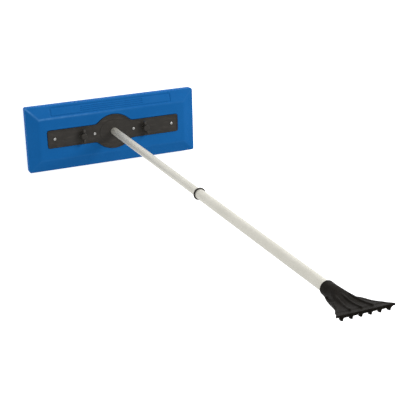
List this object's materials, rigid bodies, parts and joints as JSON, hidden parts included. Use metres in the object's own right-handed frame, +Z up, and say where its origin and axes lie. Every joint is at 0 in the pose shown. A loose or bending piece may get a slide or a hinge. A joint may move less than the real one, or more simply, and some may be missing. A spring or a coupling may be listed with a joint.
{
  "type": "roof snow rake",
  "caption": "Wide bevelled foam head on a telescoping twist-lock pole with a toothed ice scraper at the far end, for pushing and pulling snow.",
  "frame": {"origin": "centre of the foam head's flat working face, at the bottom of the object", "axes": "+X along the head's long side, +Y towards the side the scraper's blade tilts to, +Z up the pole to the scraper"},
  "size_m": [0.457, 0.171, 1.245],
  "materials": {
    "foam": "matte",
    "black_plastic": "satin",
    "scraper_plastic": "satin",
    "frame_plastic": "matte",
    "tube_aluminium": "satin",
    "zinc_steel": "satin",
    "insert_brass": "satin",
    "nylon": "satin"
  },
  "bodies": {
    "head": {"foam_head": "foam", "anchor_frame": "frame_plastic", "back_plate": "black_plastic", "plate_screws": "zinc_steel", "knob_bolts": "zinc_steel", "socket_bolt": "zinc_steel", "socket_washer": "zinc_steel", "foot_plug": "nylon", "inner_tube": "tube_aluminium", "lock_plug": "nylon", "lock_stud": "zinc_steel", "stop_nut": "zinc_steel"},
    "lock_sleeve": {"expander_sleeve": "nylon"},
    "lock_cone": {"cone_nut": "nylon"},
    "outer_pole": {"outer_tube": "tube_aluminium", "mouth_bush": "black_plastic", "tube_plug": "nylon", "ice_scraper": "scraper_plastic", "scraper_screw": "zinc_steel"},
    "washer_left": {"knob_washer_left": "zinc_steel"},
    "washer_right": {"knob_washer_right": "zinc_steel"},
    "knob_left": {"wing_knob_left": "black_plastic", "knob_insert_left": "insert_brass"},
    "knob_right": {"wing_knob_right": "black_plastic", "knob_insert_right": "insert_brass"}
  },
  "joints": [
    {"name": "pole_twist", "type": "hinge", "parent": "head", "child": "lock_sleeve", "pos_m": [0, 0, 0.6265], "axis": [0, 0, 1], "range_deg": [0, 270]},
    {"name": "cone_travel", "type": "slide", "parent": "lock_sleeve", "child": "lock_cone", "axis": [0, 0, 1], "range_m": [0, 0.0031]},
    {"name": "pole_slide", "type": "slide", "parent": "lock_sleeve", "child": "outer_pole", "axis": [0, 0, 1], "range_m": [-0.483, 0]},
    {"name": "knob_lift_left", "type": "slide", "parent": "head", "child": "washer_left", "axis": [0, 0, 1], "range_m": [0, 0.0021]},
    {"name": "knob_turn_left", "type": "hinge", "parent": "washer_left", "child": "knob_left", "pos_m": [-0.085, 0, 0.0368], "axis": [0, 0, 1], "range_deg": [0, 720]},
    {"name": "knob_lift_right", "type": "slide", "parent": "head", "child": "washer_right", "axis": [0, 0, 1], "range_m": [0, 0.0021]},
    {"name": "knob_turn_right", "type": "hinge", "parent": "washer_right", "child": "knob_right", "pos_m": [0.085, 0, 0.0368], "axis": [0, 0, 1], "range_deg": [0, 720]}
  ],
  "couplings": [
    {"joint": "cone_travel", "follows": "pole_twist", "m_per_rad": 0.00063662},
    {"joint": "knob_lift_left", "follows": "knob_turn_left", "m_per_rad": 0.00015915},
    {"joint": "knob_lift_right", "follows": "knob_turn_right", "m_per_rad": 0.00015915}
  ]
}
